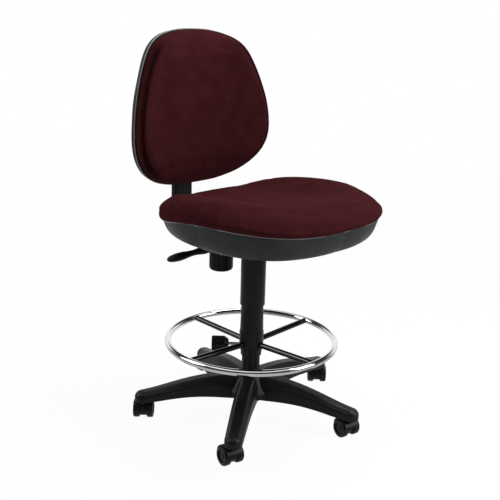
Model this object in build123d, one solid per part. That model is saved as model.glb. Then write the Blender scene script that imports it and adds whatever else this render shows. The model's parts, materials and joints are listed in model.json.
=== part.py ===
from build123d import *
import math
import os

# Drafting chair: a five-arm base on twin-wheel casters, a gas column with telescopic sleeves,
# a chrome foot ring, a contoured seat in a moulded shell and a curved back on an upright bar.
# Millimetres. The origin is on the floor under the column, +Z is up and the chair faces -Y,
# so the sitter's right hand is towards -X.

# Fits
running_gap = 0.05
slide_gap = 0.3
rest_gap = 0.4
cut_overrun = 1.0

# Casters
wheel_diameter = 48.0
wheel_width = 17.0
wheel_edge_round = 4.0
wheel_dish_depth = 3.0
wheel_rim_width = 5.0
wheel_cap_radius = 6.0
axle_diameter = 6.0
axle_depth = 12.0
caster_web_width = 18.0
hood_gap = 1.2
hood_wall = 2.4
hood_width = 44.0
hood_skirt_height = 8.0
web_floor_clearance = 5.0
caster_trail = 12.0
stem_diameter = 11.0
stem_grip = 24.0
stem_root = 14.0
caster_trail_angles = (77.0, 77.0, 44.0, 2.0, 44.0)

# Five-arm base
arm_count = len(caster_trail_angles)
first_arm_angle = -143.4
stem_circle_radius = 286.0
tip_radius = 22.0
tip_height = 27.0
tip_round = 17.0
arm_root_width = 56.0
arm_root_crown_width = 34.0
arm_tip_crown_width = 22.0
arm_arch_rise = 12.0
arm_edge_round = 7.5
arm_wall = 4.5
arm_shoulder_share = 0.62
# Share of the arm's reach, of the arch's rise below it and of the crown's fall above it
arm_stages = ((0.0, 0.2, 0.0), (0.3, 0.85, 0.1), (0.6, 1.0, 0.4), (0.85, 0.4, 0.8), (1.0, 0.0, 1.0))
hollow_stages = slice(1, 4)
hub_drop = 4.0
hub_height = 77.0
hub_foot_radius = 37.0
hub_head_radius = 33.0
gusset_radius = 64.0
gusset_height = 26.0

# Gas column
tube_diameter = 48.0
tube_wall = 2.5
tube_length = 280.0
tube_taper_drop = 1.0
tube_plate = 4.0
tube_seat_rise = 2.0
bush_length = 60.0
bush_flange = 3.0
cylinder_diameter = 28.0
cylinder_wall = 2.0
cylinder_plug = 20.0
cylinder_rest_gap = 64.0
cylinder_taper_drop = 0.7
rod_diameter = 10.0
rod_spigot_diameter = 8.0
rod_shoulder_diameter = 20.0
rod_shoulder_height = 3.0
rod_length = 176.0
piston_height = 12.0
bearing_diameter = 22.0
bearing_height = 6.0
button_diameter = 8.0
button_rise = 9.7
button_depth = 8.0
button_travel_room = 12.0

# Telescopic sleeves
upper_sleeve_diameter = 65.0
upper_sleeve_length = 134.0
sleeve_wall = 2.0
sleeve_flange = 2.5
lower_sleeve_foot_diameter = 61.5
lower_sleeve_head_diameter = 54.0
lower_sleeve_length = 164.0
sleeve_web = 3.0
web_clearance = 1.0

# Foot ring
ring_radius = 220.0
ring_tube_diameter = 17.0
ring_height = 212.0
spoke_diameter = 15.0
spoke_count = 4
spoke_fall = 7.0
ring_hub_diameter = 64.0
ring_hub_foot_diameter = 55.0
ring_hub_height = 65.0
ring_hub_foot_height = 8.0
ring_hub_cone_height = 16.0
ring_hub_below_spokes = 33.0
ring_hub_lip = 2.0
ring_bush_wall = 1.5
ring_bush_height = 12.0
spoke_socket_depth = 5.0

# Foot ring knob
ring_knob_angle = 135.0
ring_knob_start = 60.0
ring_knob_drop = 6.0
ring_knob_length = 45.0
ring_knob_diameter = 40.0
ring_knob_neck_diameter = 24.0
ring_knob_neck_length = 11.0
ring_knob_flutes = 6
ring_knob_flute_radius = 9.0
ring_knob_flute_bite = 3.0
ring_screw_diameter = 8.0
screw_bite = 14.0

# Seat mechanism
seat_floor_height = 507.0
plate_thickness = 3.0
plate_width = 170.0
plate_front = -110.0
plate_rear = 150.0
plate_corner = 12.0
housing_width = 90.0
housing_height = 58.0
housing_wall = 2.5
housing_front = -60.0
socket_diameter = 40.0
socket_drop = 20.0
socket_rise = 18.0
channel_front = 76.0
channel_wall = 3.0
bolt_x = 70.0
bolt_front = -92.0
bolt_rear = 96.0
bolt_diameter = 6.0
bolt_head_diameter = 11.0
bolt_head_height = 4.0
bolt_tip_gap = 1.0

# Height lever
lever_sweep_angle = 12.5
lever_pivot_distance = 32.0
lever_rod_diameter = 8.0
lever_straight = 150.0
lever_reach = 250.0
lever_slope_angle = 7.0
lever_bend_radius = 60.0
lever_eye_diameter = 15.0
lever_eye_width = 11.0
lever_pin_diameter = 5.0
lever_ear_thickness = 3.0
lever_ear_width = 15.0
lever_slot_height = 15.0
lever_slot_width = 18.0
lever_slot_depth = 10.0
paddle_start = 128.0
paddle_rod_bite = 40.0
paddle_width = 30.0
paddle_thickness = 19.0
# Share of the paddle's length, of its width and of its thickness
paddle_stages = ((0.0, 0.55, 0.8), (0.12, 0.72, 1.05), (0.26, 0.68, 0.98), (0.4, 0.58, 0.76), (0.6, 0.84, 0.9),
                 (0.78, 1.0, 1.0), (0.93, 0.75, 0.78), (1.0, 0.3, 0.35))

# Back depth knob
depth_knob_y = 121.0
depth_knob_diameter = 64.0
depth_knob_height = 64.0
depth_knob_drop = 4.0
depth_knob_round = 9.0
depth_knob_flutes = 18
depth_knob_flute_radius = 3.6
depth_knob_flute_bite = 1.8
depth_knob_cap_height = 16.0
depth_screw_diameter = 10.0
nut_height = 11.0
nut_diameter = 24.0

# Back upright bar and its cover
bar_width = 50.0
bar_thickness = 8.0
bar_front = 52.0
bar_upright_y = 283.0
bar_top = 778.0
bar_bend_radius = 45.0
bar_fit = 0.2
cover_width = 62.0
cover_thickness = 20.0
cover_bottom = 522.0
cover_cap = 3.0
cover_corner = 5.0

# Seat shell, board and cushion
seat_centre_y = -56.0
seat_half_width = 254.0
seat_front = 241.0
seat_rear = 252.0
seat_power = 2.7
seat_outline_points = 24
shell_wall = 3.5
# Height above the shell's floor and how far the outline is drawn in there
shell_profile = ((0.0, 44.0), (5.0, 30.0), (13.0, 20.0), (27.0, 11.5), (49.0, 4.5), (75.0, 0.0))
rim_front_height = 567.0
rim_middle_height = 574.0
rim_rear_height = 526.0
board_thickness = 12.0
board_inset = 50.0
nut_barrel_diameter = 9.0
nut_flange_diameter = 19.0
nut_flange_height = 1.5
arm_hole_x = 160.0
arm_hole_front = -108.0
arm_hole_spacing = 100.0
arm_hole_diameter = 6.6
cushion_gap = 0.5
cushion_side_overhang = 7.0
cushion_front_overhang = 4.0
cushion_rear_overhang = 3.5
# Height from the middle of the rim and how far the sides, front and rear are drawn in there
cushion_stages = (
    (-60.0, 26.0, 26.0, 22.0), (-36.0, 10.0, 10.0, 6.0), (-14.4, 2.0, 2.0, 0.0), (7.65, 0.0, 0.0, 5.0),
    (25.5, 9.0, 14.0, 26.0), (38.25, 31.0, 42.0, 70.0), (46.92, 70.0, 90.0, 128.0), (51.0, 145.0, 165.0, 205.0),
)
trough_depth = 16.0
trough_half_width = 155.0
trough_tilt = 3.5

# Backrest
back_bottom = 597.0
back_height = 402.0
back_half_width = 232.0
back_wrap_radius = 495.0
# Share of the back's height and of its half-width there
back_outline = (
    (0.0, 0.22), (0.02, 0.44), (0.06, 0.64), (0.14, 0.84), (0.24, 0.96), (0.35, 1.0), (0.50, 0.98),
    (0.65, 0.91), (0.80, 0.8), (0.90, 0.68), (0.955, 0.535), (0.985, 0.36), (1.0, 0.16),
)
back_shell_rear_y = 267.0
back_shell_depth = 14.0
back_shell_wall = 6.0
back_shell_edge = 4.0
back_board_thickness = 7.5
back_board_gap = 0.5
back_cushion_thickness = 40.0
back_cushion_wing_thickness = 33.0
back_cushion_end_share = 0.55
back_cushion_end_reach = 0.12
back_cushion_inset = 1.0
back_cushion_gap = 0.8
back_cushion_edge = 13.0
carriage_width = 90.0
carriage_height = 130.0
carriage_bottom = 610.0
carriage_wall = 10.0
carriage_flange_width = 124.0
back_bolt_x = 53.0
back_bolt_inset = 22.0
back_bolt_diameter = 6.0

# Back height knob
height_knob_diameter = 44.0
height_knob_length = 34.0
height_knob_standoff = 7.0
height_knob_flutes = 6
height_knob_flute_radius = 10.0
height_knob_flute_bite = 3.5
height_knob_round = 5.0
height_screw_diameter = 8.0

# Worked-out levels
wheel_radius = wheel_diameter / 2
hood_inner = wheel_radius + hood_gap
hood_outer = hood_inner + hood_wall
caster_top = wheel_radius + hood_outer
arm_underside = caster_top + rest_gap
hub_bottom = arm_underside - hub_drop
hub_top = hub_bottom + hub_height
tube_radius = tube_diameter / 2
tube_bore = tube_radius - tube_wall
tube_bottom = hub_bottom + tube_seat_rise
tube_top = tube_bottom + tube_length
plate_top = tube_bottom + tube_plate
shoulder_bottom = plate_top + bearing_height
rod_bottom = shoulder_bottom + rod_shoulder_height
cylinder_radius = cylinder_diameter / 2
cylinder_bore = cylinder_radius - cylinder_wall
cylinder_bottom = rod_bottom + cylinder_rest_gap
plate_bottom = seat_floor_height - plate_thickness
housing_bottom = plate_bottom - housing_height
housing_floor = housing_bottom + housing_wall
socket_bottom = housing_bottom - socket_drop
socket_top = housing_bottom + socket_rise
button_top = socket_top + button_rise
lever_height = button_top + slide_gap + lever_rod_diameter / 2
bar_bottom = housing_floor + nut_height + slide_gap + bar_fit
bar_run_top = bar_bottom + bar_thickness
spoke_hub_height = ring_height - spoke_fall
ring_hub_bottom = spoke_hub_height - ring_hub_below_spokes
ring_hub_top = ring_hub_bottom + ring_hub_height
lower_sleeve_bottom = ring_hub_top + slide_gap
lower_sleeve_top = lower_sleeve_bottom + lower_sleeve_length
ring_bush_bore = tube_radius + running_gap
ring_bush_radius = ring_bush_bore + ring_bush_wall
ring_hub_bore = ring_bush_radius + running_gap
cushion_crown_height = rim_middle_height + cushion_stages[-1][0]
board_bottom = seat_floor_height + shell_wall
board_top = board_bottom + board_thickness
cover_front = bar_upright_y - cover_thickness / 2
cover_rear = bar_upright_y + cover_thickness / 2
cover_top = bar_top + bar_fit + cover_cap
back_dish_rear = back_shell_rear_y - back_shell_wall
back_board_rear = back_dish_rear - back_board_gap
back_board_front = back_board_rear - back_board_thickness
carriage_front = cover_front - slide_gap
carriage_rear = cover_rear + slide_gap + carriage_wall
carriage_top = carriage_bottom + carriage_height
height_knob_z = carriage_bottom + carriage_height / 2


def export(name, shape):
    export_step(shape, os.path.join("parts", name + ".step"))


def group(solids):
    return Compound(children=list(solids))


def post(radius, bottom, top):
    """Upright round bar about the Z axis."""
    base = (Align.CENTER, Align.CENTER, Align.MIN)
    return Pos(0, 0, bottom) * Cylinder(radius, top - bottom, align=base)


def bore(radius, bottom, top):
    """Round cut about the Z axis that runs past both ends."""
    return post(radius, bottom - cut_overrun, top + cut_overrun)


def pipe(outer, inner, bottom, top):
    return post(outer, bottom, top) - bore(inner, bottom, top)


def turned(points):
    """Solid of revolution about Z from a closed outline of (radius, height) points."""
    outline = Polyline(*[(radius, 0, height) for radius, height in points], close=True)
    return revolve(make_face(outline), Axis.Z)


def cone(foot_radius, head_radius, bottom, top):
    return turned([(0, bottom), (foot_radius, bottom), (head_radius, top), (0, top)])


def block(x_span, y_span, z_span):
    size = [span[1] - span[0] for span in (x_span, y_span, z_span)]
    centre = [(span[0] + span[1]) / 2 for span in (x_span, y_span, z_span)]
    return Pos(*centre) * Box(*size)


def drilled(shape, holes):
    for hole in holes:
        shape -= hole
    return shape


def rounded_bar(width, depth, bottom, top, corner):
    """Upright bar with a rounded rectangular section about the Z axis."""
    return Pos(0, 0, bottom) * extrude(RectangleRounded(width, depth, corner), top - bottom)


def flutes(count, knob_radius, flute_radius, bite, bottom, top):
    """Grip flutes round a knob that stands on the Z axis."""
    flute = Pos(knob_radius + flute_radius - bite, 0, 0) * post(flute_radius, bottom, top)
    return [Rot(0, 0, 360 * index / count) * flute for index in range(count)]


def arc_ring(points):
    """Closed wire of arcs, each through three neighbouring points of an even list."""
    count = len(points)
    edges = [
        ThreePointArc(points[index], points[index + 1], points[(index + 2) % count])
        for index in range(0, count, 2)
    ]
    return Wire(edges)


def oval(half_width, front, rear, height):
    """Seat outline at one height: a squarish oval with its own reach in front and behind."""
    points = []
    for index in range(seat_outline_points):
        angle = 2 * math.pi * index / seat_outline_points
        share_x = math.copysign(abs(math.cos(angle)) ** (2 / seat_power), math.cos(angle))
        share_y = math.copysign(abs(math.sin(angle)) ** (2 / seat_power), math.sin(angle))
        reach = rear if share_y > 0 else front
        points.append((half_width * share_x, seat_centre_y + reach * share_y, height))
    return arc_ring(points)


def seat_oval(inset, height):
    return oval(seat_half_width - inset, seat_front - inset, seat_rear - inset, height)


def wrap(x):
    """How far the back comes forward at a distance from its centre line."""
    return back_wrap_radius - math.sqrt(back_wrap_radius ** 2 - x ** 2)


def curved_slice(half_width, rear_y, centre_depth, wing_depth, edge, height):
    """One level of the back: a bowed strip with rounded ends."""
    inner = half_width - edge
    rear_wing = rear_y - wrap(inner)
    front_wing = rear_wing - wing_depth
    middle_wing = (rear_wing + front_wing) / 2
    points = [
        (-inner, rear_wing, height),
        (0, rear_y, height),
        (inner, rear_wing, height),
        (half_width, middle_wing, height),
        (inner, front_wing, height),
        (0, rear_y - centre_depth, height),
        (-inner, front_wing, height),
        (-half_width, middle_wing, height),
    ]
    return arc_ring(points)


# Casters

def caster_wheel():
    """Wheel on the Z axis, its inner face at zero and its dished face outwards."""
    disc = post(wheel_radius, 0, wheel_width)
    rims = disc.edges().filter_by(GeomType.CIRCLE)
    disc = fillet(rims, wheel_edge_round)
    dish_radius = wheel_radius - wheel_edge_round - wheel_rim_width
    hub_cap = post(wheel_cap_radius, wheel_width - wheel_dish_depth, wheel_width - wheel_dish_depth / 2)
    disc -= post(dish_radius, wheel_width - wheel_dish_depth, wheel_width + cut_overrun)
    disc += hub_cap
    return disc - post(axle_diameter / 2 + running_gap, -1, axle_depth + slide_gap)


def caster_pieces():
    """Body, stem, axle and two wheels, with the stem on Z and the wheels behind it along +X."""
    on_axle = Pos(caster_trail, 0, wheel_radius) * Rot(-90, 0, 0)
    web_half = caster_web_width / 2
    web = on_axle * post(wheel_radius - web_floor_clearance, -web_half, web_half)
    hood_half = hood_width / 2
    hood = on_axle * pipe(hood_outer, hood_inner, -hood_half, hood_half)
    hood += on_axle * post(hood_outer, -web_half, web_half)
    skirt = wheel_radius + hood_skirt_height
    far = 2 * wheel_diameter
    hood -= block((-far, far), (-far, far), (-far, skirt))
    boss = post(web_half, wheel_radius, caster_top)
    stem = post(stem_diameter / 2, caster_top - stem_root, arm_underside + stem_grip)
    axle_half = web_half + slide_gap + axle_depth
    axle = on_axle * post(axle_diameter / 2, -axle_half, axle_half)
    body = web + hood + boss - stem - axle
    wheel_place = Pos(0, 0, web_half + slide_gap)
    left_wheel = on_axle * wheel_place * caster_wheel()
    right_wheel = on_axle * Rot(180, 0, 0) * wheel_place * caster_wheel()
    return {"body": body, "stem": stem, "axle": axle, "wheel_left": left_wheel, "wheel_right": right_wheel}


# Five-arm base

def arm_angle(index):
    return first_arm_angle + 360 * index / arm_count


def arm_section(radius, width, crown_width, underside, top, margin=0.0):
    """Arm section at a radius: upright sides, bevelled shoulders and a flat crown."""
    shoulder = underside + (top - underside) * arm_shoulder_share
    half = width / 2 - margin
    crown = crown_width / 2 - margin / 2
    floor = underside if margin == 0 else underside - cut_overrun
    outline = [
        (half, floor), (half, shoulder - margin), (crown, top - margin),
        (-crown, top - margin), (-half, shoulder - margin), (-half, floor),
    ]
    plane = Plane(origin=(radius, 0, 0), x_dir=(0, 1, 0), z_dir=(1, 0, 0))
    corners = make_face(Polyline(*outline, close=True))
    upper = [vertex for vertex in corners.vertices() if vertex.Y > floor + 1]
    return plane * fillet(upper, arm_edge_round - margin / 2)


def arm_stations(start):
    """Radius, width, crown width, underside and top from the hub to the caster socket."""
    reach = stem_circle_radius
    tip_top = arm_underside + tip_height
    root_top = hub_top - hub_drop
    drop = root_top - tip_top
    tip_width = 2 * tip_radius
    spare = arm_root_width - tip_width
    crown_spare = arm_root_crown_width - arm_tip_crown_width
    stations = []
    for share, rise, fall in arm_stages:
        radius = start + (reach - start) * share
        stations.append((
            radius,
            tip_width + spare * (1 - share),
            arm_tip_crown_width + crown_spare * (1 - share),
            arm_underside + arm_arch_rise * rise,
            root_top - drop * fall,
        ))
    return stations


def base_star(tube_envelope):
    arm_start = hub_head_radius / 2
    arm = loft([arm_section(*station) for station in arm_stations(arm_start)])
    cavity_stations = arm_stations(arm_start)[hollow_stages]
    cavity = loft([arm_section(*station, margin=arm_wall) for station in cavity_stations])
    tip = Pos(stem_circle_radius, 0, 0) * post(tip_radius, arm_underside, arm_underside + tip_height)
    tip = fillet(tip.edges().group_by(Axis.Z)[-1], tip_round)
    socket = Pos(stem_circle_radius, 0, 0) * post(
        stem_diameter / 2 + running_gap, arm_underside - cut_overrun, arm_underside + stem_grip + rest_gap)
    past_tip = block(
        (stem_circle_radius, stem_circle_radius + 2 * tip_radius),
        (-tip_radius, tip_radius), (0, 2 * hub_top))
    star = turned([
        (0, hub_bottom), (hub_foot_radius, hub_bottom), (hub_foot_radius, arm_underside + arm_arch_rise),
        (gusset_radius, arm_underside + arm_arch_rise), (gusset_radius, arm_underside + gusset_height),
        (hub_head_radius, hub_top), (0, hub_top),
    ])
    for index in range(arm_count):
        turn = Rot(0, 0, arm_angle(index))
        star += turn * (arm - past_tip + tip)
    for index in range(arm_count):
        turn = Rot(0, 0, arm_angle(index))
        star -= turn * cavity
        star -= turn * socket
    return star - tube_envelope


# Gas column

def tube_outline():
    """Outside of the stand tube, tapered where it sits in the base."""
    foot = tube_radius - tube_taper_drop
    return turned([
        (0, tube_bottom), (foot, tube_bottom), (tube_radius, hub_top), (tube_radius, tube_top), (0, tube_top),
    ])


def stand_tube():
    tube = tube_outline() - post(tube_bore, plate_top, tube_top + cut_overrun)
    return tube - bore(rod_spigot_diameter / 2 + running_gap, tube_bottom, plate_top)


def hub_clearance():
    """The tube's outside carried down through the foot of the hub."""
    return tube_outline() + post(tube_radius - tube_taper_drop, hub_bottom - cut_overrun, tube_bottom)


def guide_bush():
    bottom = tube_top - bush_length
    top = tube_top + bush_flange
    bush = post(tube_bore, bottom, tube_top) + post(tube_radius, tube_top, top)
    return bush - bore(cylinder_radius + running_gap, bottom, top)


def piston_rod():
    rod_top = rod_bottom + rod_length
    rod = post(rod_spigot_diameter / 2, tube_bottom, shoulder_bottom)
    rod += post(rod_shoulder_diameter / 2, shoulder_bottom, rod_bottom)
    rod += post(rod_diameter / 2, rod_bottom, rod_top)
    return rod + post(cylinder_bore - running_gap, rod_top - piston_height, rod_top)


def thrust_bearing():
    return pipe(bearing_diameter / 2, rod_spigot_diameter / 2 + running_gap, plate_top, shoulder_bottom)


def cylinder_outline():
    tip = cylinder_radius - cylinder_taper_drop
    return turned([
        (0, cylinder_bottom), (cylinder_radius, cylinder_bottom),
        (cylinder_radius, socket_bottom), (tip, socket_top), (0, socket_top),
    ])


def gas_cylinder():
    cavity_top = socket_top - button_depth - button_travel_room - cylinder_plug
    solid = cylinder_outline() - post(cylinder_bore, cylinder_bottom + cylinder_plug, cavity_top)
    solid -= bore(rod_diameter / 2 + running_gap, cylinder_bottom, cylinder_bottom + cylinder_plug)
    button_hole_bottom = socket_top - button_depth - button_travel_room
    return solid - post(button_diameter / 2 + running_gap, button_hole_bottom, socket_top + cut_overrun)


def release_button():
    return post(button_diameter / 2, socket_top - button_depth, button_top)


def upper_sleeve():
    radius = upper_sleeve_diameter / 2
    sleeve = pipe(radius, radius - sleeve_wall, housing_bottom - upper_sleeve_length, housing_bottom)
    flange_radius = radius - sleeve_wall / 2
    return sleeve + pipe(flange_radius, socket_diameter / 2, housing_bottom - sleeve_flange, housing_bottom)


def lower_sleeve():
    foot = lower_sleeve_foot_diameter / 2
    head = lower_sleeve_head_diameter / 2
    outside = cone(foot, head, lower_sleeve_bottom, lower_sleeve_top)
    inside = cone(foot - sleeve_wall, head - sleeve_wall, lower_sleeve_bottom, lower_sleeve_top)
    web_bottom = tube_top + bush_flange
    web = pipe(foot, cylinder_radius + web_clearance, web_bottom, web_bottom + sleeve_web) & outside
    return outside - inside + web


# Foot ring

def ring_torus():
    return Pos(0, 0, ring_height) * Torus(ring_radius, ring_tube_diameter / 2)


def ring_spokes(torus):
    start_radius = ring_hub_diameter / 2 - spoke_socket_depth
    start = Vector(start_radius, 0, spoke_hub_height)
    end = Vector(ring_radius, 0, ring_height)
    spoke = Plane(origin=start, z_dir=end - start) * extrude(Circle(spoke_diameter / 2), (end - start).length)
    spoke -= torus
    spoke = spoke.solids().sort_by(SortBy.VOLUME)[-1]
    return [Rot(0, 0, 360 * index / spoke_count) * spoke for index in range(spoke_count)]


def ring_screw():
    """Lock screw on the Z axis, measured out from the column."""
    return post(ring_screw_diameter / 2, tube_radius + rest_gap, ring_knob_start + screw_bite)


def on_ring_knob():
    height = spoke_hub_height - ring_knob_drop
    return Pos(0, 0, height) * Rot(0, 0, ring_knob_angle) * Rot(0, 90, 0)


def ring_knob():
    radius = ring_knob_diameter / 2
    neck = ring_knob_neck_diameter / 2
    shoulder = ring_knob_start + ring_knob_neck_length
    end = ring_knob_start + ring_knob_length
    knob = turned([
        (0, ring_knob_start), (neck, ring_knob_start), (radius, shoulder), (radius, end), (0, end),
    ])
    knob = fillet(knob.edges().group_by(Axis.Z)[-1], ring_knob_flute_bite)
    cuts = flutes(
        ring_knob_flutes, radius, ring_knob_flute_radius, ring_knob_flute_bite, shoulder, end + cut_overrun)
    return drilled(knob, cuts) - ring_screw()


def ring_hub(spokes):
    radius = ring_hub_diameter / 2
    foot = ring_hub_foot_diameter / 2
    cone_start = ring_hub_bottom + ring_hub_foot_height
    hub = turned([
        (0, ring_hub_bottom), (foot, ring_hub_bottom), (foot, cone_start),
        (radius, cone_start + ring_hub_cone_height), (radius, ring_hub_top), (0, ring_hub_top),
    ])
    hub -= bore(tube_radius + rest_gap, ring_hub_bottom, ring_hub_top)
    hub -= post(ring_hub_bore, ring_hub_bottom + ring_hub_lip, ring_hub_top + cut_overrun)
    hub = drilled(hub, spokes)
    screw_hole = post(ring_screw_diameter / 2 + running_gap, tube_radius, ring_hub_diameter)
    return hub - on_ring_knob() * screw_hole


def ring_bushes():
    lower = ring_hub_bottom + ring_hub_lip + slide_gap
    upper = ring_hub_top - ring_bush_height
    return [
        pipe(ring_bush_radius, ring_bush_bore, bottom, bottom + ring_bush_height)
        for bottom in (lower, upper)
    ]


# Seat mechanism

def on_lever(distance, height=lever_height):
    """Place on the lever's line: Z of the frame points outwards, X across, at a distance from the column."""
    sweep = math.radians(lever_sweep_angle)
    outwards = Vector(-math.cos(sweep), math.sin(sweep), 0)
    return Plane(origin=outwards * distance + Vector(0, 0, height), x_dir=(0, 0, 1), z_dir=outwards)


def lever_pin():
    half = lever_eye_width / 2 + slide_gap + lever_ear_thickness
    plane = on_lever(lever_pivot_distance)
    return plane * Rot(-90, 0, 0) * post(lever_pin_diameter / 2, -half, half)


def lever_ears():
    inner = lever_eye_width / 2 + slide_gap
    outer = inner + lever_ear_thickness
    half = lever_ear_width / 2
    top = plate_bottom - lever_height + plate_thickness / 2
    plane = on_lever(lever_pivot_distance)
    return [plane * block((-half, top), span, (-half, half)) for span in ((inner, outer), (-outer, -inner))]


def mechanism_bolt_places():
    return [(x, y) for x in (-bolt_x, bolt_x) for y in (bolt_front, bolt_rear)]


def mechanism_housing(pin):
    half = housing_width / 2
    inner = half - housing_wall
    box = block((-half, half), (housing_front, plate_rear), (housing_bottom, plate_bottom))
    front_room = block(
        (-inner, inner), (housing_front + housing_wall, channel_front), (housing_floor, plate_bottom))
    slot = bar_width / 2 + bar_fit
    past_rear = plate_rear + cut_overrun
    bar_slot = block(
        (-slot, slot), (channel_front - cut_overrun, past_rear),
        (bar_bottom - bar_fit, bar_run_top + bar_fit))
    wall = slot + channel_wall
    rear_rooms = [
        block(span, (channel_front + channel_wall, past_rear), (housing_floor, plate_bottom))
        for span in ((-inner, -wall), (wall, inner))
    ]
    top_room = block(
        (-slot, slot), (channel_front + channel_wall, past_rear),
        (bar_run_top + bar_fit + channel_wall, plate_bottom))
    under_room = block(
        (-slot, slot), (channel_front + channel_wall, plate_rear - channel_wall),
        (housing_floor, bar_bottom - bar_fit - channel_wall))
    housing = box - front_room
    housing = drilled(housing, rear_rooms + [top_room, under_room, bar_slot])
    nut = Pos(0, depth_knob_y, 0) * post(nut_diameter / 2, housing_floor, bar_bottom - bar_fit)
    housing += nut
    screw_hole = post(depth_screw_diameter / 2 + running_gap, housing_bottom - cut_overrun, bar_bottom)
    housing -= Pos(0, depth_knob_y, 0) * screw_hole
    housing += post(socket_diameter / 2, socket_bottom, socket_top)
    plate = Pos(0, (plate_front + plate_rear) / 2, plate_bottom) * extrude(
        RectangleRounded(plate_width, plate_rear - plate_front, plate_corner), plate_thickness)
    housing += plate
    for ear in lever_ears():
        housing += ear
    window = on_lever(half) * Box(lever_slot_height, lever_slot_width, lever_slot_depth)
    housing = housing - window - cylinder_outline() - pin
    bolt_hole = bore(bolt_diameter / 2 + running_gap, plate_bottom, seat_floor_height)
    return drilled(housing, [Pos(x, y, 0) * bolt_hole for x, y in mechanism_bolt_places()])


def lever_line_height(distance):
    """Height of the lever's line at a distance from the column: level, then falling along the paddle."""
    past_bend = max(0.0, distance - lever_straight)
    return lever_height - past_bend * math.tan(math.radians(lever_slope_angle))


def lever_rod():
    rod_end = paddle_start + paddle_rod_bite
    distances = (0, lever_straight, rod_end)
    points = [on_lever(distance, lever_line_height(distance)).origin for distance in distances]
    path = FilletPolyline(*points, radius=lever_bend_radius)
    rod = sweep(on_lever(0) * Circle(lever_rod_diameter / 2), path)
    eye_half = lever_eye_width / 2
    eye_place = on_lever(lever_pivot_distance) * Rot(-90, 0, 0)
    rod += eye_place * post(lever_eye_diameter / 2, -eye_half, eye_half)
    return rod - eye_place * post(lever_pin_diameter / 2 + running_gap, -lever_eye_width, lever_eye_width)


def lever_paddle(rod):
    length = lever_reach - paddle_start
    sections = []
    for share, width_share, thickness_share in paddle_stages:
        distance = paddle_start + length * share
        place = on_lever(distance, lever_line_height(distance))
        half_thickness = paddle_thickness * thickness_share / 2
        sections.append(place * Ellipse(half_thickness, paddle_width * width_share / 2))
    return loft(sections) - rod


# Back depth knob

def depth_knob():
    top = housing_bottom - depth_knob_drop
    bottom = top - depth_knob_height
    radius = depth_knob_diameter / 2
    knob = post(radius, bottom, top)
    knob = fillet(knob.edges().group_by(Axis.Z)[0], depth_knob_round)
    cuts = flutes(
        depth_knob_flutes, radius, depth_knob_flute_radius, depth_knob_flute_bite,
        bottom - cut_overrun, top - depth_knob_cap_height)
    return Pos(0, depth_knob_y, 0) * drilled(knob, cuts) - depth_screw()


def depth_screw():
    tip = bar_bottom - rest_gap
    root = housing_bottom - depth_knob_drop - screw_bite
    return Pos(0, depth_knob_y, 0) * post(depth_screw_diameter / 2, root, tip)


# Back upright bar

def upright_bar():
    rear = bar_upright_y + bar_thickness / 2
    front = bar_upright_y - bar_thickness / 2
    outline = Polyline(
        (bar_front, bar_bottom), (rear, bar_bottom), (rear, bar_top),
        (front, bar_top), (front, bar_run_top), (bar_front, bar_run_top), close=True)
    side = make_face(outline)
    outer = [vertex for vertex in side.vertices() if vertex.X > rear - 1 and vertex.Y < bar_run_top]
    side = fillet(outer, bar_bend_radius + bar_thickness)
    inner = [vertex for vertex in side.vertices()
             if abs(vertex.X - front) < 1 and abs(vertex.Y - bar_run_top) < 1]
    side = fillet(inner, bar_bend_radius)
    plane = Plane(origin=(-bar_width / 2, 0, 0), x_dir=(0, 1, 0), z_dir=(1, 0, 0))
    return plane * extrude(side, bar_width)


def bar_cover():
    cover = rounded_bar(cover_width, cover_thickness, cover_bottom, cover_top, cover_corner)
    room = rounded_bar(
        bar_width + 2 * bar_fit, bar_thickness + 2 * bar_fit,
        cover_bottom - cut_overrun, bar_top + bar_fit, bar_fit)
    return Pos(0, bar_upright_y, 0) * (cover - room)


# Seat

def below_rim(lift=0.0):
    """Everything below the curved level of the shell's rim."""
    front = seat_centre_y - seat_front
    rear = seat_centre_y + seat_rear
    front_level = rim_front_height + lift
    rear_level = rim_rear_height + lift
    arc = ThreePointArc(
        (front, front_level), (seat_centre_y, rim_middle_height + lift), (rear, rear_level))
    spare = 4 * cushion_side_overhang
    floor = seat_floor_height - cut_overrun
    rest = Polyline(
        (rear, rear_level), (rear + spare, rear_level), (rear + spare, floor),
        (front - spare, floor), (front - spare, front_level), (front, front_level))
    side = make_face([arc, rest])
    half = seat_half_width + spare
    plane = Plane(origin=(-half, 0, 0), x_dir=(0, 1, 0), z_dir=(1, 0, 0))
    return plane * extrude(side, 2 * half)


def shell_body(inset, lift):
    """Filled form of the shell, drawn in by an inset and lifted off its floor."""
    sections = [
        seat_oval(profile_inset + inset, seat_floor_height + height + lift)
        for height, profile_inset in shell_profile
    ]
    return Solid.make_loft(sections)


def seat_shell():
    shell = shell_body(0, 0) & below_rim()
    shell -= shell_body(shell_wall, shell_wall)
    bolt_hole = bore(bolt_diameter / 2 + running_gap, seat_floor_height, board_bottom)
    arm_hole = bore(arm_hole_diameter / 2, seat_floor_height, board_bottom)
    shell = drilled(shell, [Pos(x, y, 0) * bolt_hole for x, y in mechanism_bolt_places()])
    return drilled(shell, [Pos(x, y, 0) * arm_hole for x, y in arm_hole_places()])


def arm_hole_places():
    rear = arm_hole_front + arm_hole_spacing
    return [(x, y) for x in (-arm_hole_x, arm_hole_x) for y in (arm_hole_front, rear)]


def t_nut(hole_diameter):
    barrel = post(nut_barrel_diameter / 2, board_bottom, board_top)
    flange = post(nut_flange_diameter / 2, board_top - nut_flange_height, board_top)
    return barrel + flange - bore(hole_diameter / 2, board_bottom, board_top)


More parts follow.
